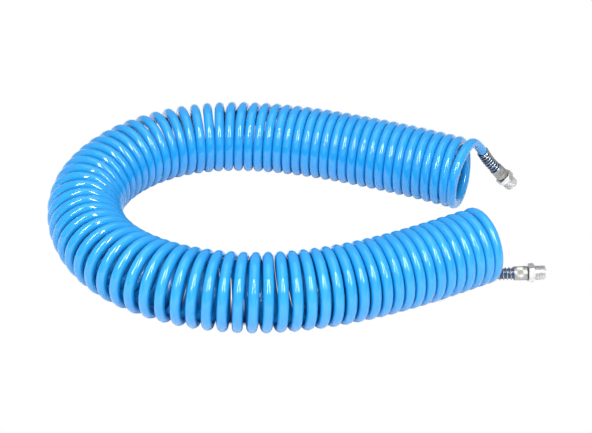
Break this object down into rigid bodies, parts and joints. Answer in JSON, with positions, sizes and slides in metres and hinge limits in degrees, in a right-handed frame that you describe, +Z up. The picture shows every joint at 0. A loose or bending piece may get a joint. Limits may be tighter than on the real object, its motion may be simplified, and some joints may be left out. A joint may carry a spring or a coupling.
{
  "type": "coiled air hose",
  "caption": "Blue polyurethane recoil air hose lying in a U, a springy coil of small tube with a swivelling male-thread fitting and a wire bend guard on each end.",
  "frame": {"origin": "middle of the footprint, on the surface that the hose lies on", "axes": "+X from the bend of the U towards its two ends, along the longest extent; +Z up, along the shortest; +Y towards the supply end's run"},
  "size_m": [0.4566, 0.3162, 0.07],
  "materials": {
    "hose": "glossy azure-blue polyurethane, slightly translucent",
    "spring_wire": "bright drawn spring wire",
    "satin_nut": "satin turned metal, fine straight knurl",
    "plated": "bright nickel plating",
    "brass": "machined brass",
    "seal": "matt black seal rubber",
    "washer": "black acetal"
  },
  "bodies": {
    "hose": {"hose_coil_back": "hose", "hose_coil_bend": "hose", "hose_coil_front": "hose", "hose_tail_a": "hose", "bend_guard_spring_a": "spring_wire", "clamp_nut_a": "satin_nut", "grip_ring_a": "brass", "barb_stem_a": "brass", "stem_o_ring_a": "seal", "thrust_washer_a": "washer"},
    "tool_end": {"hose_tail_b": "hose", "bend_guard_spring_b": "spring_wire", "clamp_nut_b": "satin_nut", "grip_ring_b": "brass", "barb_stem_b": "brass", "stem_o_ring_b": "seal", "thrust_washer_b": "washer"},
    "supply_swivel": {"swivel_body_a": "plated", "retaining_ring_a": "spring_wire"},
    "tool_swivel": {"swivel_body_b": "plated", "retaining_ring_b": "spring_wire"}
  },
  "joints": [
    {"name": "recoil_stretch", "type": "slide", "parent": "hose", "child": "tool_end", "axis": [1, 0, 0], "range_m": [0, 0.35], "stiffness_N_per_m": 8},
    {"name": "supply_swivel_turn", "type": "hinge", "parent": "hose", "child": "supply_swivel", "pos_m": [0.21856, 0.08191, 0.0039], "axis": [0.6601, 0.04, -0.7501], "continuous": true},
    {"name": "tool_swivel_turn", "type": "hinge", "parent": "tool_end", "child": "tool_swivel", "pos_m": [0.22806, -0.06419, 0.0089], "axis": [0.999, 0, 0.045], "continuous": true}
  ]
}
